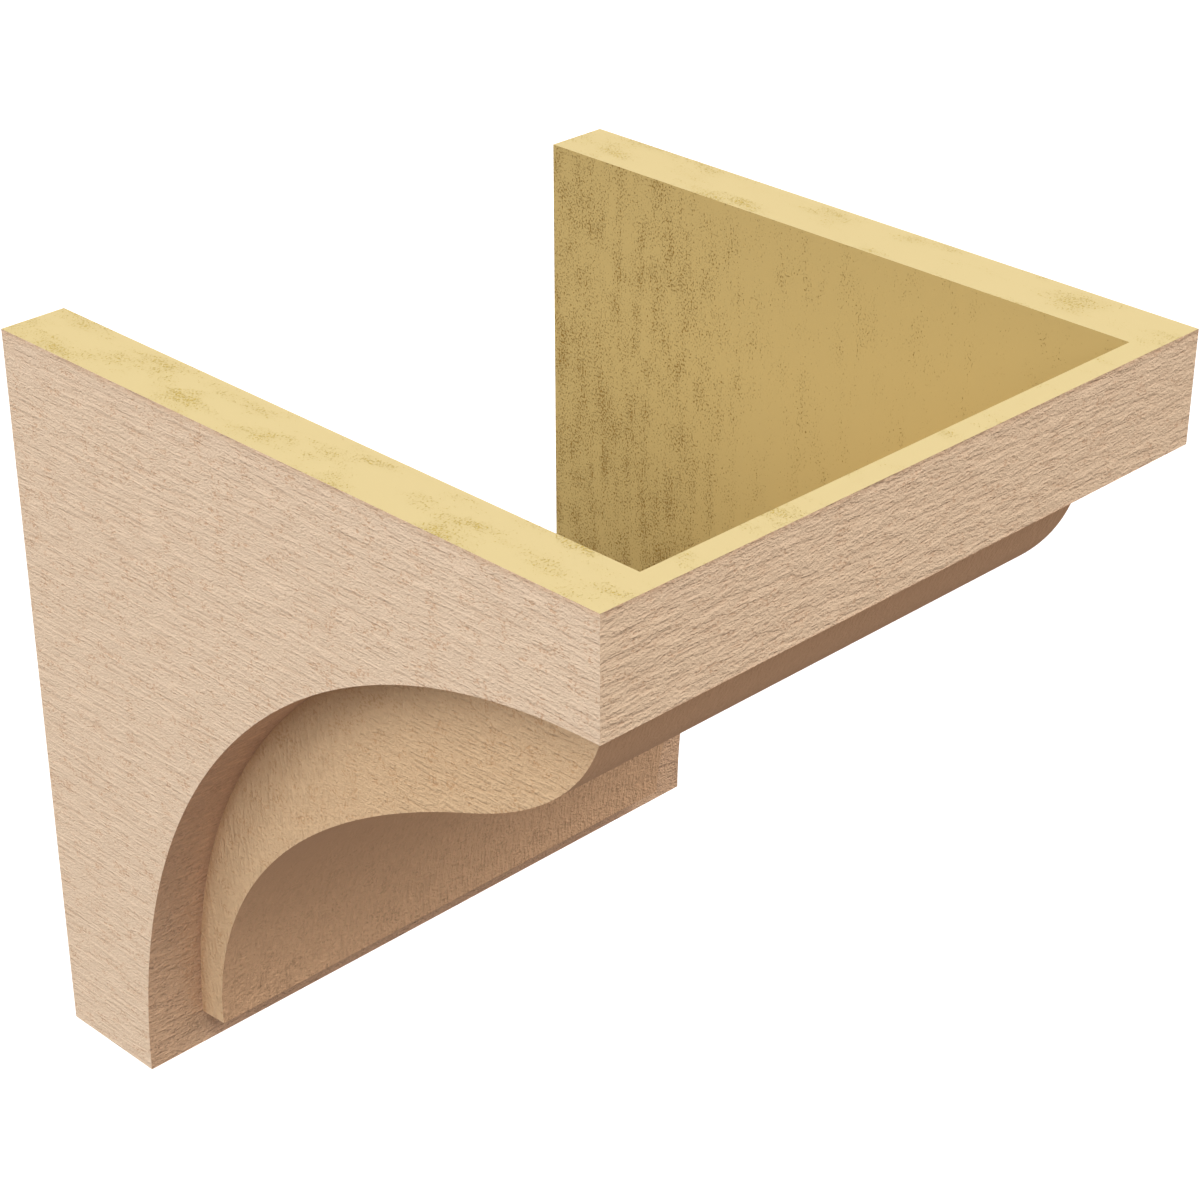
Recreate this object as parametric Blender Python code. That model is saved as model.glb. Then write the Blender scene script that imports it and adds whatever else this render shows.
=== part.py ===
"""A hollow moulded corbel: a cube open at the top and the back, with a coved underside and an ogee block.

Outlines are drawn in a side view as (forward, up) pairs in metres. Forward is measured out from the
wall, and up from the corbel's underside. In the model the wall is the plane Y = 0, the corbel reaches
out towards -Y, X runs along the wall, and the origin is on the wall in the middle of the bottom web.
"""
import math

import bmesh
import bpy
from mathutils import Vector

# Outer size of the corbel, a 12 inch cube.
WIDTH = 0.3048
DEPTH = 0.3048
HEIGHT = 0.3048

# Walls: the two sides, the bottom web, and the band across the front.
SIDE_WALL = 0.0276
BOTTOM_WEB = 0.0276
FRONT_WALL = 0.0104

# The front band's height, and how far the foot stands out from the wall.
BAND_HEIGHT = 0.0457
FOOT_DEPTH = 0.0508

# The cove is a quarter of a superellipse, a little fuller than a quarter of an ellipse.
COVE_POWER = 2.067
COVE_STEPS = 48

# The ogee block between the sides: its flat bottom, its foot and its nose under the front band.
BLOCK_BOTTOM = 0.0153
BLOCK_FOOT = 0.0638
BLOCK_NOSE = 0.2803

# The ogee is two cubic curves that meet at its point of inflection, with a handle at each end.
INFLECTION = Vector((0.2128, 0.1815))
INFLECTION_SLOPE = math.radians(20.8)
FOOT_HANDLE = 0.0352
LOWER_HANDLE = 0.1375
UPPER_HANDLE = 0.0274
NOSE_HANDLE = 0.0470
OGEE_STEPS = 28

# Each side of the block leans out towards its root by the mould's draft, which gives the
# block's cheeks some thickness where the hollow passes behind them.
BLOCK_DRAFT = math.radians(3.5)

# The hollow's front is a flatter quarter superellipse.
HOLLOW_POWER = 1.56
HOLLOW_STEPS = 36

# How far a cutter runs past the face that it cuts, and how deep the block is rooted in the body.
OVERRUN = 0.020
ROOT = 0.030

SMOOTH_ANGLE = math.radians(30.0)
FOAM_COLOUR = (0.66, 0.50, 0.36, 1.0)
FOAM_ROUGHNESS = 0.8


def clear_scene():
    """Empties the scene of objects."""
    for thing in list(bpy.data.objects):
        bpy.data.objects.remove(thing, do_unlink=True)


def quarter(centre, radii, power, steps, start=0.0):
    """Points of a quarter superellipse from the height start, upright at its foot and level at its end."""
    foot = math.asin((start / radii[1]) ** (power / 2.0))
    points = []
    for step in range(steps + 1):
        angle = foot + (math.pi / 2.0 - foot) * step / steps
        forward = centre[0] - radii[0] * max(math.cos(angle), 0.0) ** (2.0 / power)
        up = centre[1] + radii[1] * math.sin(angle) ** (2.0 / power)
        points.append((forward, up))
    return points


def cubic(start, start_handle, end_handle, end, steps):
    """Points of a cubic curve, both ends included."""
    points = []
    for step in range(steps + 1):
        t = step / steps
        s = 1.0 - t
        point = start * s ** 3 + start_handle * 3.0 * s * s * t + end_handle * 3.0 * s * t * t + end * t ** 3
        points.append((point.x, point.y))
    return points


def side_outline():
    """The corbel's side: foot, cove, front band, top and back."""
    cove = quarter((DEPTH, 0.0), (DEPTH - FOOT_DEPTH, HEIGHT - BAND_HEIGHT), COVE_POWER, COVE_STEPS)
    return [(0.0, 0.0)] + cove + [(DEPTH, HEIGHT), (0.0, HEIGHT)]


def ogee_curve():
    """The block's face, from its foot up to its nose under the front band."""
    foot = Vector((BLOCK_FOOT, BLOCK_BOTTOM))
    nose = Vector((BLOCK_NOSE, HEIGHT - BAND_HEIGHT))
    along = Vector((math.cos(INFLECTION_SLOPE), math.sin(INFLECTION_SLOPE)))
    lower = cubic(foot, foot + Vector((0.0, FOOT_HANDLE)), INFLECTION - along * LOWER_HANDLE,
                  INFLECTION, OGEE_STEPS)
    upper = cubic(INFLECTION, INFLECTION + along * UPPER_HANDLE, nose - Vector((0.0, NOSE_HANDLE)),
                  nose, OGEE_STEPS)
    return lower + upper[1:]


def block_outline():
    """The ogee block with its root, which stays inside the side outline."""
    root = FOOT_DEPTH - ROOT
    top = HEIGHT - BAND_HEIGHT + ROOT
    return [(root, BLOCK_BOTTOM)] + ogee_curve() + [(BLOCK_NOSE, top), (root, top)]


def hollow_outline():
    """The hollow behind the front band and the ogee, run out past the top and the back."""
    inner_front = DEPTH - FRONT_WALL
    radii = (DEPTH - FOOT_DEPTH, HEIGHT - BAND_HEIGHT + FRONT_WALL)
    curve = quarter((inner_front, 0.0), radii, HOLLOW_POWER, HOLLOW_STEPS, start=BOTTOM_WEB)
    return ([(-OVERRUN, BOTTOM_WEB)] + curve
            + [(inner_front, HEIGHT + OVERRUN), (-OVERRUN, HEIGHT + OVERRUN)])


def block_half_width(forward, up):
    """Half the block's width at a point of its side, wider towards the root by the draft."""
    foot = Vector((BLOCK_FOOT, BLOCK_BOTTOM))
    chord = Vector((BLOCK_NOSE, HEIGHT - BAND_HEIGHT)) - foot
    inward = Vector((-chord.y, chord.x)).normalized()
    behind = inward.dot(Vector((forward, up)) - foot)
    return WIDTH / 2.0 - SIDE_WALL + behind * math.tan(BLOCK_DRAFT)


def prism(name, outline, half_width):
    """A closed solid with the outline on both ends; half_width(forward, up) says how far each point runs."""
    mesh = bmesh.new()
    rows = []
    for side in (-1.0, 1.0):
        rows.append([mesh.verts.new((side * half_width(forward, up), -forward, up - BOTTOM_WEB / 2.0))
                     for forward, up in outline])
    left, right = rows
    mesh.faces.new(left)
    mesh.faces.new(list(reversed(right)))
    for index in range(len(outline)):
        after = (index + 1) % len(outline)
        mesh.faces.new((left[index], right[index], right[after], left[after]))
    bmesh.ops.recalc_face_normals(mesh, faces=mesh.faces)
    data = bpy.data.meshes.new(name)
    mesh.to_mesh(data)
    mesh.free()
    solid = bpy.data.objects.new(name, data)
    bpy.context.scene.collection.objects.link(solid)
    return solid


def boolean(target, cutter, operation):
    """Joins the cutter to the target, or takes it away, and keeps the cutter as a hidden guide."""
    step = target.modifiers.new(cutter.name, 'BOOLEAN')
    step.operation = operation
    step.solver = 'EXACT'
    step.object = cutter
    cutter.hide_render = True
    cutter.display_type = 'WIRE'


def foam_material():
    """The primed foam's own colour."""
    material = bpy.data.materials.new("primed_foam")
    material.use_nodes = True
    shader = material.node_tree.nodes["Principled BSDF"]
    shader.inputs["Base Color"].default_value = FOAM_COLOUR
    shader.inputs["Roughness"].default_value = FOAM_ROUGHNESS
    shader.inputs["Metallic"].default_value = 0.0
    return material


def make_corbel():
    """The corbel: the full-width body, the ogee block under it, and the hollow cut out from top and back."""
    corbel = prism("corbel", side_outline(), lambda forward, up: WIDTH / 2.0)
    block = prism("ogee_block", block_outline(), block_half_width)
    hollow = prism("hollow", hollow_outline(), lambda forward, up: WIDTH / 2.0 - SIDE_WALL)
    corbel.data.materials.append(foam_material())
    boolean(corbel, block, 'UNION')
    boolean(corbel, hollow, 'DIFFERENCE')
    corbel.data.shade_smooth()
    corbel.data.set_sharp_from_angle(angle=SMOOTH_ANGLE)
    return corbel


clear_scene()
make_corbel()
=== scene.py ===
"""A hollow moulded corbel's looks: one closed skin over the solid corbel, in primed and bare foam.

Outlines are drawn in a side view as (forward, up) pairs in metres. Forward is measured out from the
wall, and up from the corbel's underside. In the model the wall is the plane Y = 0, the corbel reaches
out towards -Y, X runs along the wall, and the origin is on the wall in the middle of the bottom web.
"""
import math
from collections import namedtuple

import bpy
import numpy as np
from bpy.props import FloatProperty, FloatVectorProperty, PointerProperty
from mathutils import Matrix, Vector, noise
from mathutils.geometry import delaunay_2d_cdt
from mathutils.kdtree import KDTree


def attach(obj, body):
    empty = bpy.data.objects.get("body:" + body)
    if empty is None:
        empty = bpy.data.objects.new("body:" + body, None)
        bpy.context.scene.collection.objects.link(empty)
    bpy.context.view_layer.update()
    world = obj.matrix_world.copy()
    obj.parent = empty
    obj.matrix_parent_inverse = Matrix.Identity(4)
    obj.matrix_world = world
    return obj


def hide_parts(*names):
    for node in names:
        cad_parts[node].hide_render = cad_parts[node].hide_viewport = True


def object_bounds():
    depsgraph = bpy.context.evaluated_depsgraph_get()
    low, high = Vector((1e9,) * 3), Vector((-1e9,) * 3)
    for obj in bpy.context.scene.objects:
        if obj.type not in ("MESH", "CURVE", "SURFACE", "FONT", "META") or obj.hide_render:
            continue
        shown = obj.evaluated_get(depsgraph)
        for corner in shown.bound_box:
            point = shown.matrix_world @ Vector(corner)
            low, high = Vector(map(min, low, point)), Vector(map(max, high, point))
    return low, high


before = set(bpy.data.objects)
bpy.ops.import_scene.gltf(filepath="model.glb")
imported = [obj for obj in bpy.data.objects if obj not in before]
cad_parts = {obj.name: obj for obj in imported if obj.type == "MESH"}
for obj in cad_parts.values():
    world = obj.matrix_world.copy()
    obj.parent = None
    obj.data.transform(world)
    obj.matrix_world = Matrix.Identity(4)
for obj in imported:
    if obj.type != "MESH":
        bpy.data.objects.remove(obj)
CAD_LOW, CAD_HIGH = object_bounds()

bl_info = {
    "name": "Hollow moulded corbel",
    "version": (1, 0, 0),
    "blender": (4, 5, 0),
    "location": "View3D > Sidebar > Corbel",
    "description": "Makes the corbel's skin in primed and bare foam, and the studio around it",
    "category": "Object",
}

# The mesh: points along the outer edges and along the hollow's edges, and each surface's own spacing.
OUTER_EDGE = 0.0012
HOLLOW_EDGE = 0.0040
SIDE_MESH = 0.0022
BAND_MESH = 0.0010
COVE_MESH = 0.0011
CHEEK_MESH = 0.0014
OGEE_MESH = 0.0030
PLAIN_MESH = 0.0040
HOLLOW_MESH = 0.0080
CURVE_STEPS = 600

# A staggered lattice, in shares of its spacing: the gap between its rows, where a row's points start, how
# much further along they start in every second row, and how clear of a border they stay.
ROW_GAP = math.sqrt(0.75)
ROW_START = 0.25
ROW_SHIFT = 0.5
BORDER_GAP = 0.55

# The distance within which two points of a plan are one, and the step that finds which way a surface faces.
PLAN_TOLERANCE = 1e-9
PROBE = 1e-6

# Border points in the same cell of this size are one, with the cells shifted off the round measures.
JOIN_CELL = 1e-5
JOIN_SHIFT = 0.3217

# The finishes, in the order of the skin's material slots.
SIDE, BAND, CHEEK, COVE, OGEE, RIM, LINING = range(7)

# The relief in the mesh: how deep it is, and how long its waves are along X, Y and Z.
SIDE_DEPTH = 0.00014
SIDE_WAVES = (1.0, 0.016, 0.005)
BAND_DEPTH = 0.00019
BAND_BROAD = (0.0070, 1.0, 0.0030)
BAND_FINE = (0.0034, 1.0, 0.0020)
CHEEK_DEPTH = 0.00010
CHEEK_WAVES = (1.0, 0.009, 0.009)
COVE_DEPTH = 0.00016
COVE_ALONG = (0.010, 0.004, 0.0030)
COVE_DOWN = (0.0030, 0.010, 0.012)

# Shares of that depth: in the middle of a wave on plain and on crinkled surfaces, what each set of waves
# adds, and what the waves down the cove add.
PLAIN_MIDDLE = 0.5
CRINKLED_MIDDLE = 0.55
WAVE_SHARE = 0.8
DOWN_SHARE = 0.5

# The share of the cove's relief that is lost by this height.
COVE_LOSS = 0.85
COVE_LOSS_HEIGHT = 0.10

# From one octave of the relief's noise to the next: the fall in strength, and how much finer it gets.
OCTAVE_FALL = 1.0
OCTAVE_RATIO = 2.0

# How far the painted shade reaches out of an inner corner, and where it goes over from beside the block's
# sides to under its bottom, in shares of the bottom's height.
PAINTED_SHADE_REACH = 0.005
CORNER_LOW = 0.8
CORNER_HIGH = 1.4

# The primer's grain on one surface: the lengths of its crinkles and its streaks along X, Y and Z, how
# strongly it colours, how high it stands, the streaks' lengths towards the front where they turn there,
# and high up the share of the grain that is left and the share of painted shade that darkens the coat there.
Grain = namedtuple("Grain", "crinkles streaks strength height turned upper dusk", defaults=(None, 1.0, 0.0))
SIDE_GRAIN = Grain((0.0009, 0.0013, 0.0008), (0.0016, 0.0180, 0.0016), 0.66, 0.00084)
BAND_GRAIN = Grain((0.0016, 0.0011, 0.0010), (0.0120, 0.0014, 0.0020), 0.52, 0.00084)
CHEEK_GRAIN = Grain((0.0010, 0.0012, 0.0012), (0.0014, 0.0014, 0.0080), 0.50, 0.00100,
                    turned=(0.0014, 0.0080, 0.0014), dusk=0.16)
COVE_GRAIN = Grain((0.0015, 0.0013, 0.0011), (0.0080, 0.0030, 0.0018), 0.66, 0.00160, upper=0.8, dusk=0.48)
OGEE_GRAIN = Grain((0.0013, 0.0013, 0.0012), (0.0014, 0.0030, 0.0080), 0.60, 0.00160, upper=0.25, dusk=0.50)

# The primer's noise: the length and reach of the drift that pushes it about, the detail and roughness of its
# crinkles, and how many times longer than its crinkles its clusters of pits are.
DRIFT_LENGTH = 0.008
DRIFT_REACH = 0.0005
CRINKLE_DETAIL = 1.5
CRINKLE_ROUGHNESS = 0.75
CLUSTER_LENGTHS = 6.0

# Where in the noise each of the primer's marks starts and where it is full. Pits open where the crinkles are
# below a cut, which is higher inside a cluster, and are full where they are below it by the pits' edge.
CLUSTERS = (0.44, 0.64)
PIT_CUT = (0.35, 0.52)
PIT_EDGE = 0.13
KNOBS = (0.50, 0.66)
RIBS = (0.54, 0.68)
GROOVES = (0.44, 0.32)

# The share of the shade in a groove, the share of the paleness on a knob, how high the streaks stand in the
# grain, and how much paler than its colour the primer is on its ridges.
GROOVE_SHADE = 0.25
KNOB_PALE = 0.8
STREAK_LIFT = 0.24
RIDGE_GAIN = 1.12

# Painted shade in the mesh's deeper relief and in inner corners, and the darker tone at the top edge, both
# from low to high crinkles.
LOW_RELIEF = (0.00014, 0.00034)
RELIEF_PAINTED_SHADE = 0.28
CORNER_CRINKLES = (0.35, 0.65)
PAINTED_CORNER_SHADE = (0.55, 0.30)
EDGE_REACH = 0.003
EDGE_CRINKLES = (0.42, 0.56)
EDGE_SHADE = (0.1, 0.6)

# Small dark specks, one at most in a cell: the cell's size, the speck's, and the share of cells without.
SPECK_CELL = 0.016
SPECK_SIZE = 0.0005
SPECK_FREE = 0.5

# The heights over which the grain fades and painted shade darkens the coat, and where the streaks turn along
# Y.
FADE_HEIGHTS = (0.010, 0.090)
PAINTED_SHADE_HEIGHTS = (0.020, 0.130)
TURN_PLACE = (-0.130, -0.190)

# Bare foam: the size of its pits, how much longer they are upright, the noise above which they open in
# sound and in pitted foam, how soon they are full, and how their shade spreads with their density.
PIT_GRAIN = 0.0008
PIT_UPRIGHT = 1.3
FOAM_CUT = (0.74, 0.44)
FOAM_EDGE = 0.15
FOAM_TONE = (0.30, 0.90)

# The middle part of the noise, which is where patches, streaks and clusters of pits come and go.
MIDDLE_NOISE = (0.3, 0.7)

# The rim's pits: their patches and how much those matter, the density from the front to the wall and what
# the left side adds, the shade around them, and their depth.
RIM_PATCHES = (0.012, 0.030, 0.012)
RIM_PATCHINESS = 0.62
RIM_DENSITY = (0.18, 0.38)
RIM_LEFT = (0.10, -0.10)
RIM_LEFT_MORE = 0.10
RIM_SHADE = 0.10
RIM_PIT_DEPTH = 0.00020

# The lining's pits near the wall: where they come in along Y, and their density from the top to a height.
NEAR_WALL = (-0.122, -0.072)
NEAR_HEIGHT = 0.100
NEAR_DENSITY = (0.29, 0.39)

# The lining's other pits: how their density grows along Y, and the density that they have everywhere.
BEYOND_WALL = (-0.290, -0.120)
BEYOND_DENSITY = (0.05, 0.11)
LINING_DENSITY = 0.23

# The lining's streaks and clusters of pits, how much those matter, and the shade and depth of the pits.
LINING_STREAKS = (0.006, 0.006, 0.050)
LINING_CLUSTERS = (0.008, 0.008, 0.012)
LINING_PATCHINESS = 0.20
LINING_SHADE = 0.02
LINING_PIT_DEPTH = 0.00025

# How rough the primer, the foam and the floor are, and how much they reflect.
PRIMER_ROUGHNESS = 0.85
FOAM_ROUGHNESS = 0.75
FLOOR_ROUGHNESS = 0.9
REFLECTION = 0.2

# The middle of the noise's own colour, and the numbers of a Mix node's sockets for values and for colours.
NOISE_CENTRE = (0.5, 0.5, 0.5)
VALUE_A, VALUE_B = 2, 3
COLOUR_A, COLOUR_B, COLOUR_OUT = 6, 7, 2

# Soft lamps round the corbel: azimuth from the front and elevation in degrees, and strength.
LAMPS = (
    (225.0, 15.0, 0.93),
    (45.0, 35.0, 1.21),
    (270.0, 35.0, 1.04),
    (315.0, 35.0, 0.86),
    (0.0, 55.0, 0.89),
    (180.0, 0.0, 0.47),
    (90.0, 5.0, 0.50),
)
LAMP_SPREAD = math.radians(41.0)

# The floor's own glow, and the width of the camera's sensor in millimetres.
FLOOR_GLOW = 0.35
SENSOR_WIDTH = 36.0

# The world: how far down the light from below starts and is full, and the backdrop's colour.
BELOW_START = -0.33
BELOW_FULL = -0.70
WHITE = (1.0, 1.0, 1.0, 1.0)


def bed(sizes):
    """How far the corbel's underside is below the origin."""
    return sizes.bottom_web / 2.0


def quarter(centre, radii, power, start=0.0):
    """Points of a quarter superellipse from the height start, upright at its foot and level at its end."""
    foot = math.asin((start / radii[1]) ** (power / 2.0))
    angle = np.linspace(foot, math.pi / 2.0, CURVE_STEPS)
    forward = centre[0] - radii[0] * np.clip(np.cos(angle), 0.0, 1.0) ** (2.0 / power)
    up = centre[1] + radii[1] * np.sin(angle) ** (2.0 / power)
    return np.stack([forward, up], axis=1)


def cubic(start, start_handle, end_handle, end):
    """Points of a cubic curve, both ends included."""
    t = np.linspace(0.0, 1.0, CURVE_STEPS)[:, None]
    s = 1.0 - t
    return start * s ** 3 + start_handle * 3.0 * s * s * t + end_handle * 3.0 * s * t * t + end * t ** 3


def cove_curve(sizes):
    """The underside from the foot's bottom edge to the front band's bottom edge."""
    radii = (sizes.depth - sizes.foot_depth, sizes.height - sizes.band_height)
    return quarter((sizes.depth, 0.0), radii, sizes.cove_power)


def ogee_curve(sizes):
    """The block's face from its foot up to its nose under the front band, as two cubic curves."""
    foot = np.array((sizes.block_foot, sizes.block_bottom))
    nose = np.array((sizes.block_nose, sizes.height - sizes.band_height))
    turn = np.array((sizes.inflection_forward, sizes.inflection_up))
    along = np.array((math.cos(sizes.inflection_slope), math.sin(sizes.inflection_slope)))
    upright = np.array((0.0, 1.0))
    lower = cubic(foot, foot + upright * sizes.foot_handle, turn - along * sizes.lower_handle, turn)
    upper = cubic(turn, turn + along * sizes.upper_handle, nose - upright * sizes.nose_handle, nose)
    return np.concatenate([lower, upper[1:]])


def hollow_curve(sizes):
    """The hollow's front, from its floor up to the back of the front band."""
    radii = (sizes.depth - sizes.foot_depth, sizes.height - sizes.band_height + sizes.front_wall)
    return quarter((sizes.depth - sizes.front_wall, 0.0), radii, sizes.hollow_power, sizes.bottom_web)


def block_half_width(sizes, points):
    """Half the block's width at points of its side, wider towards the root by the mould's draft."""
    foot = np.array((sizes.block_foot, sizes.block_bottom))
    chord = np.array((sizes.block_nose, sizes.height - sizes.band_height)) - foot
    inward = np.array((-chord[1], chord[0])) / np.linalg.norm(chord)
    behind = (np.asarray(points) - foot) @ inward
    return sizes.width / 2.0 - sizes.side_wall + behind * math.tan(sizes.block_draft)


def arc_lengths(points):
    """The distance along a curve from its start to each of its points."""
    steps = np.linalg.norm(np.diff(points, axis=0), axis=1)
    return np.concatenate([[0.0], np.cumsum(steps)])


def along_curve(points, distances):
    """Points of a curve at the given distances from its start."""
    lengths = arc_lengths(points)
    return np.stack([np.interp(distances, lengths, points[:, axis]) for axis in (0, 1)], axis=1)


def stations(stops, spacing):
    """Even distances through the given stops, each stop included."""
    parts = [stops[:1]]
    for start, end in zip(stops, stops[1:]):
        count = max(1, round((end - start) / spacing))
        parts.append(np.linspace(start, end, count + 1)[1:])
    return np.concatenate(parts)


def line(start, end, spacing):
    """Evenly spaced points of a straight line, both ends included."""
    start, end = np.array(start, float), np.array(end, float)
    count = max(1, round(float(np.linalg.norm(end - start)) / spacing))
    return start + (end - start) * np.linspace(0.0, 1.0, count + 1)[:, None]


def loop(*lines):
    """Lines joined end to end into a closed border, each shared end given once."""
    return np.concatenate([np.asarray(points)[:-1] for points in lines])


def lattice(plan, spacing):
    """Staggered rows of points inside a plan, kept clear of its border."""
    border = np.concatenate(plan)
    ends = np.concatenate([np.roll(points, -1, axis=0) for points in plan])
    tree = KDTree(len(border))
    for index, point in enumerate(border):
        tree.insert((point[0], point[1], 0.0), index)
    tree.balance()
    low, high = border.min(axis=0), border.max(axis=0)
    inside = []
    for row in range(1, int((high[1] - low[1]) / (spacing * ROW_GAP)) + 1):
        level = low[1] + row * spacing * ROW_GAP
        meets = (border[:, 1] > level) != (ends[:, 1] > level)
        a, b = border[meets], ends[meets]
        edges = np.sort(a[:, 0] + (level - a[:, 1]) * (b[:, 0] - a[:, 0]) / (b[:, 1] - a[:, 1]))
        across = np.arange(low[0] + spacing * (ROW_START + ROW_SHIFT * (row % 2)), high[0], spacing)
        for left, right in zip(edges[::2], edges[1::2]):
            for x in across[(across > left) & (across < right)]:
                if tree.find((x, level, 0.0))[2] > spacing * BORDER_GAP:
                    inside.append((x, level))
    return np.array(inside).reshape(-1, 2)


def holds(plan, points):
    """Which points lie inside a plan's border and outside its holes."""
    starts = np.concatenate(plan)
    ends = np.concatenate([np.roll(part, -1, axis=0) for part in plan])
    x, y = points[:, :1], points[:, 1:]
    meets = (starts[:, 1] > y) != (ends[:, 1] > y)
    rise = np.where(ends[:, 1] == starts[:, 1], 1.0, ends[:, 1] - starts[:, 1])
    where = starts[:, 0] + (y - starts[:, 1]) * (ends[:, 0] - starts[:, 0]) / rise
    return (meets & (where > x)).sum(axis=1) % 2 == 1


def triangulate(plan, inner):
    """Triangles over a plan's border points and inner points, each turning anticlockwise."""
    flat = np.concatenate([*plan, inner])
    edges = []
    first = 0
    for part in plan:
        count = len(part)
        edges += [(first + step, first + (step + 1) % count) for step in range(count)]
        first += count
    exact = flat.astype(np.float32).astype(float)
    made = delaunay_2d_cdt([Vector(point) for point in exact], edges, [], 0, PLAN_TOLERANCE)
    if len(made[0]) != len(flat):
        raise RuntimeError("a plan's border crosses itself")
    triangles = np.array(made[2])
    on_border = (triangles < first).all(axis=1)
    kept = np.ones(len(triangles), bool)
    borders = [part.astype(np.float32).astype(float) for part in plan]
    kept[on_border] = holds(borders, exact[triangles[on_border]].mean(axis=1))
    triangles = triangles[kept]
    a, b, c = exact[triangles[:, 0]], exact[triangles[:, 1]], exact[triangles[:, 2]]
    ab, ac = b - a, c - a
    clockwise = ab[:, 0] * ac[:, 1] - ab[:, 1] * ac[:, 0] < 0.0
    triangles[clockwise] = triangles[clockwise][:, ::-1]
    return flat, triangles


class Skin:
    """Gathers the corbel's surfaces, each meshed in a flat plan of its own, into one closed mesh."""

    def __init__(self):
        self.points = []
        self.triangles = []
        self.finishes = []
        self.reliefs = []
        self.corners = []
        self.total = 0

    def add(self, plan, place, turn, spacing, finish, relief=None, corner=None):
        """Adds a surface. place maps the plan into the model, and turn is 1 where that faces outwards.

        relief gives each inner point's depth, and corner says how near a point is to an inner corner, where
        the primer gets painted shade.
        """
        flat, triangles = triangulate(plan, lattice(plan, spacing))
        points = place(flat)
        depth = np.zeros(len(points))
        self.corners.append(depth if corner is None else corner(points))
        if relief is not None:
            first = sum(len(part) for part in plan)
            depth[first:] = np.clip(relief(points[first:]), 0.0, None)
            points = points - self.facing(place, flat) * turn * depth[:, None]
        if turn < 0:
            triangles = triangles[:, ::-1]
        self.points.append(points)
        self.triangles.append(triangles + self.total)
        self.finishes.append(np.full(len(triangles), finish))
        self.reliefs.append(depth)
        self.total += len(points)

    @staticmethod
    def facing(place, flat):
        """The direction square to a surface at each point of its plan."""
        a = place(flat + (PROBE, 0.0)) - place(flat - (PROBE, 0.0))
        b = place(flat + (0.0, PROBE)) - place(flat - (0.0, PROBE))
        normal = np.cross(a, b)
        return normal / np.linalg.norm(normal, axis=1)[:, None]

    def build(self, name):
        """Joins the surfaces along their shared borders into a mesh with crisp edges between them."""
        points = np.concatenate(self.points)
        triangles = np.concatenate(self.triangles)
        surfaces = np.repeat(np.arange(len(self.triangles)), [len(part) for part in self.triangles])
        keys = np.round(points / JOIN_CELL + JOIN_SHIFT).astype(np.int64)
        _, first, shared = np.unique(keys, axis=0, return_index=True, return_inverse=True)
        triangles = shared.reshape(-1)[triangles]
        mesh = bpy.data.meshes.new(name)
        mesh.from_pydata(points[first].tolist(), [], triangles.tolist())
        mesh.polygons.foreach_set("material_index", np.concatenate(self.finishes).astype(np.int32))
        # Each point keeps its relief's depth and its corner value, which the primer turns into painted
        # shade.
        for label, values in (("relief", self.reliefs), ("corner", self.corners)):
            layer = mesh.attributes.new(label, 'FLOAT', 'POINT')
            layer.data.foreach_set("value", np.concatenate(values)[first].astype(np.float32))
        edge_of_corner = np.zeros(len(mesh.loops), np.int32)
        mesh.loops.foreach_get("edge_index", edge_of_corner)
        surface_of_corner = np.repeat(surfaces, 3)
        uses = np.bincount(edge_of_corner, minlength=len(mesh.edges))
        if not (uses == 2).all():
            raise RuntimeError(f"the skin isn't closed: {int((uses != 2).sum())} open edges")
        lowest = np.full(len(mesh.edges), len(self.triangles))
        highest = np.zeros(len(mesh.edges), int)
        np.minimum.at(lowest, edge_of_corner, surface_of_corner)
        np.maximum.at(highest, edge_of_corner, surface_of_corner)
        mesh.shade_smooth()
        sharp = mesh.attributes.new("sharp_edge", 'BOOLEAN', 'EDGE')
        sharp.data.foreach_set("value", lowest != highest)
        return mesh


def fractal(points, lengths, octaves, shift=0.0):
    """Fractal noise from about -1 to 1, drawn out to the given lengths along X, Y and Z."""
    return np.array([noise.fractal(point, OCTAVE_FALL, OCTAVE_RATIO, octaves)
                     for point in (points / np.array(lengths) + shift).tolist()])


def smooth_step(values, start, end):
    """0 before start and 1 after end, with a smooth change between."""
    share = np.clip((values - start) / (end - start), 0.0, 1.0)
    return share * share * (3.0 - 2.0 * share)


def side_relief(points):
    """Faint waves left along the depth of a side."""
    return SIDE_DEPTH * (PLAIN_MIDDLE + fractal(points, SIDE_WAVES, octaves=3))


def band_relief(points):
    """Crinkles along the front band."""
    broad = fractal(points, BAND_BROAD, octaves=3)
    fine = fractal(points, BAND_FINE, octaves=2, shift=7.3)
    return BAND_DEPTH * (CRINKLED_MIDDLE + WAVE_SHARE * broad + WAVE_SHARE * fine)


def cheek_relief(points):
    """Light relief on the block's sides."""
    return CHEEK_DEPTH * (PLAIN_MIDDLE + fractal(points, CHEEK_WAVES, octaves=4, shift=3.1))


def under_relief(points):
    """Crinkles on the foot that fade out up the cove."""
    fade = 1.0 - COVE_LOSS * smooth_step(points[:, 2], 0.0, COVE_LOSS_HEIGHT)
    along = fractal(points, COVE_ALONG, octaves=3, shift=1.7)
    down = fractal(points, COVE_DOWN, octaves=2, shift=5.9)
    return COVE_DEPTH * fade * (CRINKLED_MIDDLE + WAVE_SHARE * along + DOWN_SHARE * down)


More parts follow.
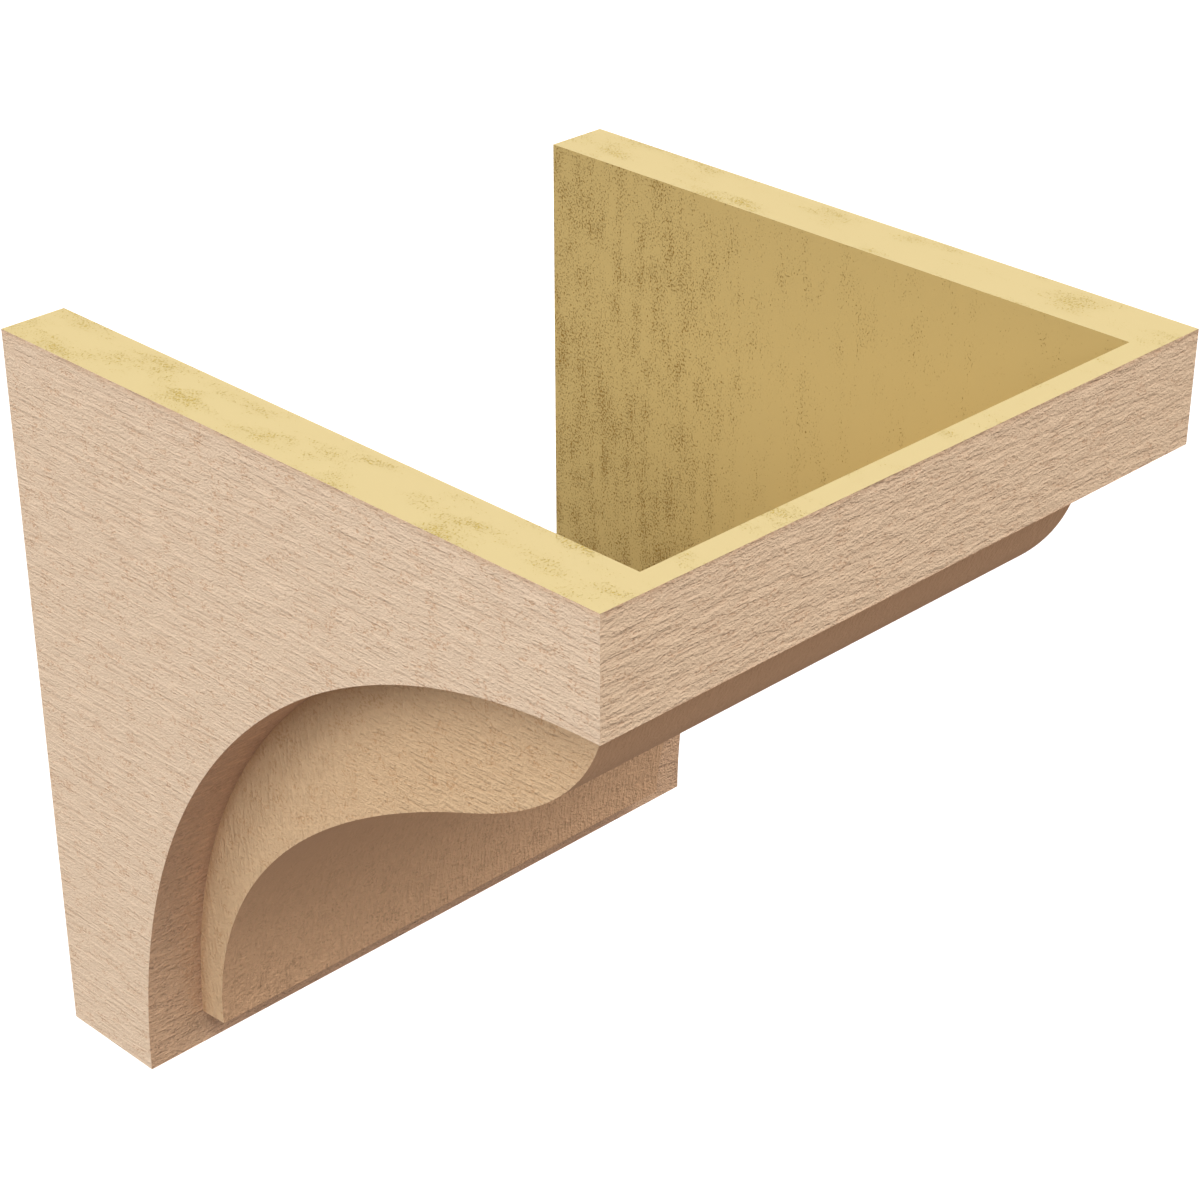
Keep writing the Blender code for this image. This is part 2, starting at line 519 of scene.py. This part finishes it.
def cove_painted_shade(sizes):
    """How near a point of the cove is to the block's side, and 1 under the block's bottom: where it gets
    painted shade.
    """
    def nearness(points):
        view = np.stack([-points[:, 1], points[:, 2] + bed(sizes)], axis=1)
        beside = abs(points[:, 0]) - block_half_width(sizes, view)
        above = smooth_step(view[:, 1], CORNER_LOW * sizes.block_bottom, CORNER_HIGH * sizes.block_bottom)
        near = 1.0 - smooth_step(beside, 0.0, PAINTED_SHADE_REACH)
        under = 1.0 - smooth_step(beside, -PAINTED_SHADE_REACH, 0.0)
        return above * near + (1.0 - above) * under
    return nearness


def cheek_painted_shade(sizes, cove):
    """How near a point of the block's side is to the cove: where it gets painted shade."""
    def nearness(points):
        forward, up = -points[:, 1], points[:, 2] + bed(sizes)
        before = forward - np.interp(up, cove[:, 1], cove[:, 0])
        under = np.interp(forward, cove[:, 0], cove[:, 1]) - up
        return 1.0 - smooth_step(np.minimum(before, under), 0.0, PAINTED_SHADE_REACH)
    return nearness


def skin_mesh(sizes):
    """The corbel's whole surface as one closed mesh."""
    width, depth, height = sizes.width, sizes.depth, sizes.height
    half, inner = width / 2.0, width / 2.0 - sizes.side_wall
    foot, web, front = sizes.foot_depth, sizes.bottom_web, depth - sizes.front_wall
    band = height - sizes.band_height
    below = bed(sizes)

    cove = cove_curve(sizes)
    cove_arc = arc_lengths(cove)
    ogee = ogee_curve(sizes)
    above = np.nonzero(ogee[:, 1] >= np.interp(ogee[:, 0], cove[:, 0], cove[:, 1]))[0]
    nose_stop = np.interp(ogee[above[0], 0], cove[:, 0], cove_arc)
    root_stop = np.interp(sizes.block_bottom, cove[:, 1], cove_arc)
    cove_at = stations(np.array([0.0, root_stop, nose_stop, cove_arc[-1]]), OUTER_EDGE)
    cove_line = along_curve(cove, cove_at)
    root_index = int(np.argmin(abs(cove_at - root_stop)))
    nose_index = int(np.argmin(abs(cove_at - nose_stop)))
    root, nose = cove_line[root_index], cove_line[nose_index]
    ogee = np.concatenate([ogee[:above[0]], nose[None]])
    ogee_at = stations(np.array([0.0, arc_lengths(ogee)[-1]]), OUTER_EDGE)
    ogee_line = along_curve(ogee, ogee_at)
    hollow = hollow_curve(sizes)
    hollow_at = stations(np.array([0.0, arc_lengths(hollow)[-1]]), HOLLOW_EDGE)
    hollow_line = along_curve(hollow, hollow_at)

    def columns(*values):
        return np.stack(values, axis=1)

    def at_side(sign, x):
        return lambda flat: columns(np.full(len(flat), sign * x), -flat[:, 0], flat[:, 1] - below)

    def at_level(up):
        return lambda flat: columns(flat[:, 0], -flat[:, 1], np.full(len(flat), up - below))

    def at_forward(forward):
        return lambda flat: columns(flat[:, 0], np.full(len(flat), -forward), flat[:, 1] - below)

    def on_curve(curve):
        def place(flat):
            points = along_curve(curve, flat[:, 1])
            return columns(flat[:, 0], -points[:, 0], points[:, 1] - below)
        return place

    def on_cheek(sign):
        def place(flat):
            return columns(sign * block_half_width(sizes, flat), -flat[:, 0], flat[:, 1] - below)
        return place

    def across(reach, level, spacing=OUTER_EDGE):
        return line((-reach, level), (reach, level), spacing)

    def strip(reach, levels, spacing=OUTER_EDGE):
        """The border of a surface that reaches equally far to both sides at each of the levels."""
        reach = np.broadcast_to(reach, len(levels))
        return loop(across(reach[0], levels[0], spacing), columns(reach, levels),
                    across(reach[-1], levels[-1], spacing)[::-1], columns(-reach, levels)[::-1])

    skin = Skin()
    side_plan = [loop(cove_line, line((depth, band), (depth, height), OUTER_EDGE),
                      line((depth, height), (0.0, height), OUTER_EDGE),
                      line((0.0, height), (0.0, 0.0), OUTER_EDGE),
                      line((0.0, 0.0), (foot, 0.0), OUTER_EDGE))]
    cheek_plan = [loop(line(root, ogee_line[0], OUTER_EDGE), ogee_line,
                       cove_line[root_index:nose_index + 1][::-1])]
    hollow_plan = [loop(line((0.0, web), hollow_line[0], HOLLOW_EDGE), hollow_line,
                        line(hollow_line[-1], (front, height), HOLLOW_EDGE),
                        line((front, height), (0.0, height), HOLLOW_EDGE),
                        line((0.0, height), (0.0, web), HOLLOW_EDGE))]
    for sign in (-1.0, 1.0):
        skin.add(side_plan, at_side(sign, half), -sign, SIDE_MESH, SIDE, side_relief)
        skin.add(cheek_plan, on_cheek(sign), -sign, CHEEK_MESH, CHEEK, cheek_relief,
                 cheek_painted_shade(sizes, cove))
        skin.add(hollow_plan, at_side(sign, inner), sign, HOLLOW_MESH, LINING)

    footprint = slice(root_index, nose_index + 1)
    cove_plan = [strip(half, cove_at),
                 strip(block_half_width(sizes, cove_line[footprint]), cove_at[footprint])]
    skin.add(cove_plan, on_curve(cove), 1.0, COVE_MESH, COVE, under_relief, cove_painted_shade(sizes))

    ogee_plan = [strip(block_half_width(sizes, ogee_line), ogee_at)]
    skin.add(ogee_plan, on_curve(ogee), 1.0, OGEE_MESH, OGEE)

    bottom_edge = line(root, ogee_line[0], OUTER_EDGE)
    bottom_plan = [strip(block_half_width(sizes, bottom_edge), bottom_edge[:, 0])]
    skin.add(bottom_plan, at_level(sizes.block_bottom), 1.0, OGEE_MESH, OGEE)

    band_plan = [loop(across(half, band), line((half, band), (half, height), OUTER_EDGE),
                      across(half, height)[::-1], line((-half, height), (-half, band), OUTER_EDGE))]
    skin.add(band_plan, at_forward(depth), 1.0, BAND_MESH, BAND, band_relief)

    rim_plan = [loop(line((-half, 0.0), (-half, depth), OUTER_EDGE), across(half, depth),
                     line((half, depth), (half, 0.0), OUTER_EDGE),
                     line((half, 0.0), (inner, 0.0), OUTER_EDGE),
                     line((inner, 0.0), (inner, front), HOLLOW_EDGE),
                     across(inner, front, HOLLOW_EDGE)[::-1],
                     line((-inner, front), (-inner, 0.0), HOLLOW_EDGE),
                     line((-inner, 0.0), (-half, 0.0), OUTER_EDGE))]
    skin.add(rim_plan, at_level(height), -1.0, PLAIN_MESH, RIM)

    back_plan = [loop(across(half, 0.0), line((half, 0.0), (half, height), OUTER_EDGE),
                      line((half, height), (inner, height), OUTER_EDGE),
                      line((inner, height), (inner, web), HOLLOW_EDGE),
                      across(inner, web, HOLLOW_EDGE)[::-1],
                      line((-inner, web), (-inner, height), HOLLOW_EDGE),
                      line((-inner, height), (-half, height), OUTER_EDGE),
                      line((-half, height), (-half, 0.0), OUTER_EDGE))]
    skin.add(back_plan, at_forward(0.0), -1.0, PLAIN_MESH, RIM)

    sole_plan = [loop(across(half, 0.0), line((half, 0.0), (half, foot), OUTER_EDGE),
                      across(half, foot)[::-1], line((-half, foot), (-half, 0.0), OUTER_EDGE))]
    skin.add(sole_plan, at_level(0.0), 1.0, PLAIN_MESH, OGEE)

    floor_end = hollow_line[0, 0]
    floor_plan = [loop(across(inner, 0.0, HOLLOW_EDGE), line((inner, 0.0), (inner, floor_end), HOLLOW_EDGE),
                       across(inner, floor_end, HOLLOW_EDGE)[::-1],
                       line((-inner, floor_end), (-inner, 0.0), HOLLOW_EDGE))]
    skin.add(floor_plan, at_level(web), -1.0, HOLLOW_MESH, LINING)
    curve_plan = [strip(inner, hollow_at, HOLLOW_EDGE)]
    skin.add(curve_plan, on_curve(hollow), -1.0, HOLLOW_MESH, LINING)
    behind = hollow_line[-1, 1]
    behind_plan = [loop(across(inner, behind, HOLLOW_EDGE),
                        line((inner, behind), (inner, height), HOLLOW_EDGE),
                        across(inner, height, HOLLOW_EDGE)[::-1],
                        line((-inner, height), (-inner, behind), HOLLOW_EDGE))]
    skin.add(behind_plan, at_forward(front), -1.0, HOLLOW_MESH, LINING)
    return skin.build("corbel_skin")


class Finish:
    """A material and its shader, with short calls that add and link nodes."""

    def __init__(self, name, roughness):
        self.material = bpy.data.materials.new(name)
        self.material.use_nodes = True
        self.tree = self.material.node_tree
        self.shader = self.tree.nodes["Principled BSDF"]
        self.shader.inputs["Roughness"].default_value = roughness
        self.shader.inputs["Specular IOR Level"].default_value = REFLECTION
        self.place = self.add("TexCoord").outputs["Object"]

    def add(self, kind, inputs=None, **settings):
        """A new node with its settings, and with values or links on its inputs."""
        node = self.tree.nodes.new("ShaderNode" + kind)
        for name, value in settings.items():
            setattr(node, name, value)
        for name, value in (inputs or {}).items():
            self.set(node.inputs[name], value)
        return node

    def set(self, socket, value):
        """Links an output to a socket, or sets the socket's own value."""
        if isinstance(value, bpy.types.NodeSocket):
            self.tree.links.new(value, socket)
        else:
            socket.default_value = value

    def grain(self, lengths, detail, place=None, shift=(0.0, 0.0, 0.0), roughness=0.55):
        """Noise drawn out to the given lengths along X, Y and Z, from 0 to 1."""
        scale = tuple(1.0 / length for length in lengths)
        moved = self.add("VectorMath", {0: self.place if place is None else place, 1: scale, 2: shift},
                         operation='MULTIPLY_ADD').outputs[0]
        return self.add("TexNoise", {"Vector": moved, "Scale": 1.0, "Detail": detail,
                                     "Roughness": roughness}).outputs["Fac"]

    def wavy_place(self, length, reach):
        """The object's coordinates, pushed about by slow noise."""
        drift = self.add("TexNoise", {"Vector": self.place, "Scale": 1.0 / length, "Detail": 1.0})
        centred = self.add("VectorMath", {0: drift.outputs["Color"], 1: NOISE_CENTRE}, operation='SUBTRACT')
        return self.add("VectorMath", {0: centred.outputs[0], 1: (reach,) * 3, 2: self.place},
                        operation='MULTIPLY_ADD').outputs[0]

    def range(self, value, low, high, to_low=0.0, to_high=1.0):
        """A value moved from one range to another, and held inside it."""
        return self.add("MapRange", {"Value": value, "From Min": low, "From Max": high,
                                     "To Min": to_low, "To Max": to_high}).outputs[0]

    def math(self, operation, first, second):
        """Two values put together."""
        return self.add("Math", {0: first, 1: second}, operation=operation).outputs[0]

    def mix(self, share, first, second):
        """Two colours mixed by a share."""
        node = self.add("Mix", data_type='RGBA')
        self.set(node.inputs[0], share)
        self.set(node.inputs[COLOUR_A], first)
        self.set(node.inputs[COLOUR_B], second)
        return node.outputs[COLOUR_OUT]

    def specks(self):
        """A few small dark specks, far apart."""
        cells = self.add("TexVoronoi", {"Vector": self.place, "Scale": 1.0 / SPECK_CELL})
        size = SPECK_SIZE / SPECK_CELL
        near = self.range(cells.outputs["Distance"], size, size / 2.0)
        chance = self.add("SeparateXYZ", {0: cells.outputs["Color"]}).outputs["X"]
        return self.math('MULTIPLY', near, self.math('GREATER_THAN', chance, SPECK_FREE))

    def blend(self, share, first, second):
        """Two values mixed by a share."""
        return self.add("Mix", {0: share, VALUE_A: first, VALUE_B: second}, data_type='FLOAT').outputs[0]

    def attribute(self, name):
        """A value that the mesh keeps at each of its points."""
        return self.add("Attribute", attribute_name=name).outputs["Fac"]

    def colour(self, value):
        """Gives the shader its colour."""
        self.set(self.shader.inputs["Base Color"], value)

    def bump(self, height, distance):
        """Gives the shader fine relief."""
        node = self.add("Bump", {"Height": height, "Strength": 1.0, "Distance": distance})
        self.set(self.shader.inputs["Normal"], node.outputs[0])


def primed_finish(name, colours, grain):
    """Primed foam: crinkles and streaks, paler on their ridges and browner in clusters of pits."""
    ridge, colour, shade = colours
    finish = Finish(name, PRIMER_ROUGHNESS)
    split = finish.add("SeparateXYZ", {0: finish.place})
    height = split.outputs["Z"]
    place = finish.wavy_place(DRIFT_LENGTH, DRIFT_REACH)
    crinkles = finish.grain(grain.crinkles, CRINKLE_DETAIL, place, roughness=CRINKLE_ROUGHNESS)
    streaks = finish.grain(grain.streaks, detail=1.0, place=place, shift=(4.0, 9.0, 2.0))
    if grain.turned:
        turned = finish.grain(grain.turned, detail=1.0, place=place, shift=(1.0, 3.0, 8.0))
        streaks = finish.blend(finish.range(split.outputs["Y"], *TURN_PLACE), streaks, turned)
    broad = tuple(CLUSTER_LENGTHS * size for size in grain.crinkles)
    clusters = finish.grain(broad, detail=2.0, place=place, shift=(7.0, 1.0, 5.0))
    clusters = finish.range(clusters, *CLUSTERS)
    ribs = finish.range(streaks, *RIBS)
    grooves = finish.range(streaks, *GROOVES)
    cut = finish.range(clusters, 0.0, 1.0, *PIT_CUT)
    pits = finish.range(finish.math('SUBTRACT', cut, crinkles), 0.0, PIT_EDGE)
    knobs = finish.range(crinkles, *KNOBS)
    fade = finish.range(height, *FADE_HEIGHTS, 1.0, grain.upper)

    # Painted shade: the primer darkens where the mesh's relief is deepest.
    low = finish.range(finish.attribute("relief"), *LOW_RELIEF, 0.0, RELIEF_PAINTED_SHADE)
    # Painted shade in inner corners and under the block: darker where the mesh's corner value is high.
    corner = finish.range(crinkles, *CORNER_CRINKLES, *PAINTED_CORNER_SHADE)
    corner = finish.math('MULTIPLY', finish.attribute("corner"), corner)
    edge = finish.range(height, CAD_HIGH.z - EDGE_REACH, CAD_HIGH.z)
    edge = finish.math('MULTIPLY', edge, finish.range(crinkles, *EDGE_CRINKLES, *EDGE_SHADE))
    dark = finish.math('MAXIMUM', pits, finish.math('MULTIPLY', grooves, GROOVE_SHADE))
    dark = finish.math('MULTIPLY', finish.math('MULTIPLY', dark, grain.strength), fade)
    # The primer's own pits, grooves and specks, with the painted shade in the relief's hollows and in inner
    # corners, and the darker top edge.
    for more in (low, corner, edge, finish.specks()):
        dark = finish.math('MAXIMUM', dark, more)
    pale = finish.math('MAXIMUM', finish.math('MULTIPLY', knobs, KNOB_PALE), ribs)
    pale = finish.math('MULTIPLY', finish.math('MULTIPLY', pale, grain.strength), fade)
    # Painted shade: higher up, the coat goes over towards its shade colour, most on the cove and the ogee.
    coat = finish.mix(finish.range(height, *PAINTED_SHADE_HEIGHTS, 0.0, grain.dusk), colour, shade)
    finish.colour(finish.mix(dark, finish.mix(pale, coat, ridge), shade))

    lift = finish.math('MULTIPLY', finish.math('SUBTRACT', ribs, grooves), STREAK_LIFT)
    finish.bump(finish.math('MULTIPLY', finish.math('ADD', crinkles, lift), fade), grain.height)
    return finish.material


def pitted_foam(finish, colour, shade, density, tone_share, depth):
    """Bare cut foam, with small darker pits as dense as told."""
    lengths = (PIT_GRAIN, PIT_GRAIN, PIT_GRAIN * PIT_UPRIGHT)
    grain = finish.grain(lengths, detail=2.0, shift=(2.0, 6.0, 4.0))
    cut = finish.range(density, 0.0, 1.0, *FOAM_CUT)
    pits = finish.range(finish.math('SUBTRACT', grain, cut), 0.0, FOAM_EDGE)
    tone = finish.range(density, *FOAM_TONE, 0.0, tone_share)
    finish.colour(finish.mix(finish.math('MAXIMUM', pits, tone), colour, shade))
    finish.bump(finish.math('SUBTRACT', 0.0, pits), depth)
    return finish.material


def patchy(finish, lengths, detail, reach, shift=(0.0, 0.0, 0.0)):
    """Density that comes and goes in patches of the given lengths, by up to reach either way."""
    return finish.range(finish.grain(lengths, detail, shift=shift), *MIDDLE_NOISE, -reach, reach)


def rim_finish(name, colour, shade):
    """Bare foam on top and at the back, with patches of pits, more on the left and towards the wall."""
    finish = Finish(name, FOAM_ROUGHNESS)
    split = finish.add("SeparateXYZ", {0: finish.place})
    patches = patchy(finish, RIM_PATCHES, detail=3.0, reach=RIM_PATCHINESS)
    density = finish.range(split.outputs["Y"], CAD_LOW.y, CAD_HIGH.y, *RIM_DENSITY)
    left = finish.range(split.outputs["X"], *RIM_LEFT, 0.0, RIM_LEFT_MORE)
    density = finish.math('ADD', finish.math('ADD', density, left), patches)
    return pitted_foam(finish, colour, shade, density, RIM_SHADE, RIM_PIT_DEPTH)


def lining_finish(name, colour, shade):
    """Bare foam inside, densely pitted near the wall and low down, with upright streaks of pits beyond."""
    finish = Finish(name, FOAM_ROUGHNESS)
    split = finish.add("SeparateXYZ", {0: finish.place})
    near_wall = finish.range(split.outputs["Y"], *NEAR_WALL)
    beyond = finish.range(split.outputs["Y"], *BEYOND_WALL, *BEYOND_DENSITY)
    low_down = finish.range(split.outputs["Z"], CAD_HIGH.z, NEAR_HEIGHT, *NEAR_DENSITY)
    streaks = patchy(finish, LINING_STREAKS, detail=3.0, reach=LINING_PATCHINESS)
    clusters = patchy(finish, LINING_CLUSTERS, detail=2.0, reach=LINING_PATCHINESS, shift=(3.0, 5.0, 1.0))
    density = finish.math('ADD', finish.math('MULTIPLY', near_wall, low_down), LINING_DENSITY)
    for more in (beyond, streaks, clusters):
        density = finish.math('ADD', density, more)
    return pitted_foam(finish, colour, shade, density, LINING_SHADE, LINING_PIT_DEPTH)


def skin_finishes(colours):
    """The skin's materials, in the order of its slots."""
    def solid(colour):
        return tuple(colour) + (1.0,)

    def primed(name, colour, shade, grain):
        return primed_finish(name, (solid(colour * RIDGE_GAIN), solid(colour), solid(shade)), grain)

    return [
        primed("primed_side", colours.side, colours.side_shade, SIDE_GRAIN),
        primed("primed_band", colours.band, colours.band_shade, BAND_GRAIN),
        primed("primed_cheek", colours.cheek, colours.cheek_shade, CHEEK_GRAIN),
        primed("primed_cove", colours.cove, colours.cove_shade, COVE_GRAIN),
        primed("primed_ogee", colours.ogee, colours.ogee_shade, OGEE_GRAIN),
        rim_finish("bare_rim", solid(colours.rim), solid(colours.rim_shade)),
        lining_finish("bare_lining", solid(colours.lining), solid(colours.lining_shade)),
    ]


def length(name, description, default):
    """A length that a user can change."""
    return FloatProperty(name=name, description=description, default=default, min=0.0, unit='LENGTH',
                         precision=4)


def angle(name, description, degrees):
    """An angle that a user can change."""
    return FloatProperty(name=name, description=description, default=math.radians(degrees),
                         unit='ROTATION')


def tint(name, description, default):
    """A colour that a user can change."""
    return FloatVectorProperty(name=name, description=description, default=default, subtype='COLOR',
                               min=0.0, max=1.0, size=3)


class CorbelSizes(bpy.types.PropertyGroup):
    """The corbel's sizes, in metres and in its side view."""

    width: length("Width", "Along the wall", CAD_HIGH.x - CAD_LOW.x)
    depth: length("Depth", "Out from the wall", CAD_HIGH.y - CAD_LOW.y)
    height: length("Height", "From the underside to the rim", CAD_HIGH.z - CAD_LOW.z)
    side_wall: length("Side wall", "Thickness of each side", 0.0276)
    bottom_web: length("Bottom web", "Height of the web under the hollow", 0.0276)
    front_wall: length("Front wall", "Thickness of the front band", 0.0104)
    band_height: length("Band height", "Height of the front band", 0.0457)
    foot_depth: length("Foot depth", "How far the foot stands out from the wall", 0.0508)
    cove_power: FloatProperty(name="Cove power", description="Fullness of the cove", default=2.067)
    block_bottom: length("Block bottom", "Height of the ogee block's flat bottom", 0.0153)
    block_foot: length("Block foot", "How far the ogee starts from the wall", 0.0638)
    block_nose: length("Block nose", "How far the ogee ends from the wall", 0.2803)
    block_draft: angle("Block draft", "Lean of the block's sides", 3.5)
    inflection_forward: length("Inflection forward", "Where the ogee turns over, from the wall", 0.2128)
    inflection_up: length("Inflection up", "Where the ogee turns over, from the underside", 0.1815)
    inflection_slope: angle("Inflection slope", "The ogee's slope where it turns over", 20.8)
    foot_handle: length("Foot handle", "Pull of the ogee's upright start", 0.0352)
    lower_handle: length("Lower handle", "Pull of the ogee below where it turns over", 0.1375)
    upper_handle: length("Upper handle", "Pull of the ogee above where it turns over", 0.0274)
    nose_handle: length("Nose handle", "Pull of the ogee's upright end", 0.0470)
    hollow_power: FloatProperty(name="Hollow power", description="Fullness of the hollow's front",
                                default=1.56)


class CorbelColours(bpy.types.PropertyGroup):
    """The colours of the primer and the foam, each with the shade of its hollows; the primer's colours carry
    painted shade.
    """

    # The primer is one coat, but each surface has its own colour: the block's sides, the cove and the ogee
    # are darker and browner as painted shade, where they face down or lie under the band and the block.
    side: tint("Side", "Primer on the sides", (0.847, 0.647, 0.471))
    side_shade: tint("Side shade", "Primer in the side's hollows", (0.660, 0.385, 0.220))
    band: tint("Band", "Primer on the front band", (0.800, 0.579, 0.393))
    band_shade: tint("Band shade", "Primer in the band's hollows", (0.540, 0.290, 0.160))
    cheek: tint("Cheek", "Primer on the block's sides", (0.825, 0.589, 0.360))
    cheek_shade: tint("Cheek shade", "Primer in the cheek's hollows", (0.594, 0.309, 0.141))
    cove: tint("Cove", "Primer on the cove and the foot", (0.818, 0.527, 0.331))
    cove_shade: tint("Cove shade", "Primer in the cove's hollows", (0.490, 0.280, 0.190))
    ogee: tint("Ogee", "Primer on the ogee", (0.814, 0.498, 0.290))
    ogee_shade: tint("Ogee shade", "Primer in the ogee's hollows", (0.540, 0.310, 0.180))
    rim: tint("Rim", "Bare foam on top", (0.813, 0.647, 0.320))
    rim_shade: tint("Rim shade", "Pits in the rim", (0.680, 0.480, 0.110))
    lining: tint("Lining", "Bare foam inside", (0.587, 0.430, 0.167))
    lining_shade: tint("Lining shade", "Pits in the lining", (0.350, 0.205, 0.045))


class StudioSettings(bpy.types.PropertyGroup):
    """The studio's floor, lamps and camera."""

    floor_drop: length("Floor drop", "How far the floor is below the corbel", 1.2)
    floor_size: length("Floor size", "Width of the floor", 40.0)
    floor_colour: tint("Floor", "The floor's colour", (0.98, 0.98, 0.98))
    lamp_strength: FloatProperty(name="Lamps", description="Strength of all the lamps", default=1.16)
    bounce: tint("Bounce", "Light that comes up from below", (0.605, 0.550, 0.517))
    azimuth: angle("Azimuth", "The camera's place round the corbel, from the front", -45.0)
    elevation: angle("Elevation", "The camera's height over the horizon", 30.0)
    distance: length("Distance", "From the camera to the middle of the corbel", 1.1402)
    lens: FloatProperty(name="Lens", description="The camera's focal length in millimetres", default=88.70)
    lift: FloatProperty(name="Lift", description="The camera's upward shift", default=0.0796)


def back_direction(azimuth, elevation):
    """The direction from the corbel to something seen round it."""
    return Vector((math.sin(azimuth) * math.cos(elevation), -math.cos(azimuth) * math.cos(elevation),
                   math.sin(elevation)))


def look_along(thing, back):
    """Turns a lamp or camera to look against the direction back."""
    turn = back.to_track_quat('Z', 'Y').to_matrix().to_4x4()
    thing.matrix_world = Matrix.Translation(thing.location) @ turn


def link(name, data):
    """A new object in the scene."""
    thing = bpy.data.objects.new(name, data)
    bpy.context.scene.collection.objects.link(thing)
    return thing


class CORBEL_OT_skin(bpy.types.Operator):
    """Makes the corbel's skin, which stands for the plain solid"""

    bl_idname = "corbel.skin"
    bl_label = "Make the corbel"

    def execute(self, context):
        scene = context.scene
        skin = link("corbel_skin", skin_mesh(scene.corbel_sizes))
        for material in skin_finishes(scene.corbel_colours):
            skin.data.materials.append(material)
        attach(skin, "root")
        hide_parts("corbel")
        return {'FINISHED'}


class CORBEL_OT_studio(bpy.types.Operator):
    """Makes the pale floor, the soft light and the camera"""

    bl_idname = "corbel.studio"
    bl_label = "Make the studio"

    def execute(self, context):
        scene = context.scene
        studio = scene.corbel_studio
        self.add_floor(studio)
        self.add_lamps(studio)
        self.add_world(studio)
        self.add_camera(scene, studio)
        scene.view_settings.view_transform = 'Standard'
        return {'FINISHED'}

    def add_floor(self, studio):
        """A wide pale floor under the corbel."""
        reach = studio.floor_size / 2.0
        drop = CAD_LOW.z - studio.floor_drop
        mesh = bpy.data.meshes.new("studio_floor")
        corners = ((-reach, -reach), (reach, -reach), (reach, reach), (-reach, reach))
        mesh.from_pydata([(x, y, drop) for x, y in corners], [], [(0, 1, 2, 3)])
        finish = Finish("floor_paint", FLOOR_ROUGHNESS)
        colour = tuple(studio.floor_colour) + (1.0,)
        finish.colour(colour)
        finish.shader.inputs["Emission Color"].default_value = colour
        finish.shader.inputs["Emission Strength"].default_value = FLOOR_GLOW
        mesh.materials.append(finish.material)
        floor = link("studio_floor", mesh)
        floor.visible_diffuse = False
        floor.visible_glossy = False

    def add_lamps(self, studio):
        """Soft lamps all round."""
        for number, (azimuth, elevation, strength) in enumerate(LAMPS, 1):
            lamp = bpy.data.lights.new(f"studio_lamp_{number}", 'SUN')
            lamp.energy = strength * studio.lamp_strength
            lamp.angle = LAMP_SPREAD
            back = back_direction(math.radians(azimuth), math.radians(elevation))
            look_along(link(lamp.name, lamp), back)

    def add_world(self, studio):
        """Light from below, and a white backdrop for the camera."""
        world = bpy.data.worlds.new("studio_world")
        world.use_nodes = True
        tree = world.node_tree
        tree.nodes.clear()
        place = tree.nodes.new("ShaderNodeTexCoord")
        split = tree.nodes.new("ShaderNodeSeparateXYZ")
        below = tree.nodes.new("ShaderNodeMapRange")
        path = tree.nodes.new("ShaderNodeLightPath")
        strength = tree.nodes.new("ShaderNodeMath")
        colour = tree.nodes.new("ShaderNodeMix")
        shader = tree.nodes.new("ShaderNodeBackground")
        output = tree.nodes.new("ShaderNodeOutputWorld")
        below.inputs["From Min"].default_value = BELOW_START
        below.inputs["From Max"].default_value = BELOW_FULL
        strength.operation = 'MAXIMUM'
        colour.data_type = 'RGBA'
        colour.inputs[COLOUR_A].default_value = tuple(studio.bounce) + (1.0,)
        colour.inputs[COLOUR_B].default_value = WHITE
        links = tree.links
        links.new(place.outputs["Generated"], split.inputs[0])
        links.new(split.outputs["Z"], below.inputs["Value"])
        links.new(below.outputs[0], strength.inputs[0])
        links.new(path.outputs["Is Camera Ray"], strength.inputs[1])
        links.new(path.outputs["Is Camera Ray"], colour.inputs[0])
        links.new(colour.outputs[COLOUR_OUT], shader.inputs["Color"])
        links.new(strength.outputs[0], shader.inputs["Strength"])
        links.new(shader.outputs[0], output.inputs["Surface"])
        bpy.context.scene.world = world

    def add_camera(self, scene, studio):
        """The camera, at the photograph's angle."""
        back = back_direction(studio.azimuth, studio.elevation)
        middle = (CAD_LOW + CAD_HIGH) / 2.0
        camera = link("studio_camera", bpy.data.cameras.new("studio_camera"))
        camera.location = middle + back * studio.distance
        look_along(camera, back)
        camera.data.sensor_width = SENSOR_WIDTH
        camera.data.lens = studio.lens
        camera.data.shift_y = studio.lift
        scene.camera = camera


class CORBEL_PT_panel(bpy.types.Panel):
    """The corbel's sizes, colours and studio in the 3D view's sidebar"""

    bl_idname = "CORBEL_PT_panel"
    bl_label = "Corbel"
    bl_space_type = 'VIEW_3D'
    bl_region_type = 'UI'
    bl_category = "Corbel"

    def draw(self, context):
        layout = self.layout
        scene = context.scene
        for group, operator in ((scene.corbel_sizes, None), (scene.corbel_colours, "corbel.skin"),
                                (scene.corbel_studio, "corbel.studio")):
            box = layout.box()
            for name in group.bl_rna.properties.keys():
                if name not in ("rna_type", "name"):
                    box.prop(group, name)
            if operator:
                box.operator(operator)


CLASSES = (CorbelSizes, CorbelColours, StudioSettings, CORBEL_OT_skin, CORBEL_OT_studio, CORBEL_PT_panel)


def register():
    """Registers the classes, and puts the settings on the scene."""
    for item in CLASSES:
        bpy.utils.register_class(item)
    bpy.types.Scene.corbel_sizes = PointerProperty(type=CorbelSizes)
    bpy.types.Scene.corbel_colours = PointerProperty(type=CorbelColours)
    bpy.types.Scene.corbel_studio = PointerProperty(type=StudioSettings)


def unregister():
    """Takes the settings and the classes away again."""
    del bpy.types.Scene.corbel_studio
    del bpy.types.Scene.corbel_colours
    del bpy.types.Scene.corbel_sizes
    for item in reversed(CLASSES):
        bpy.utils.unregister_class(item)


def main():
    """Makes the corbel and the studio."""
    register()
    bpy.ops.corbel.skin()
    bpy.ops.corbel.studio()


if __name__ == "__main__":
    main()
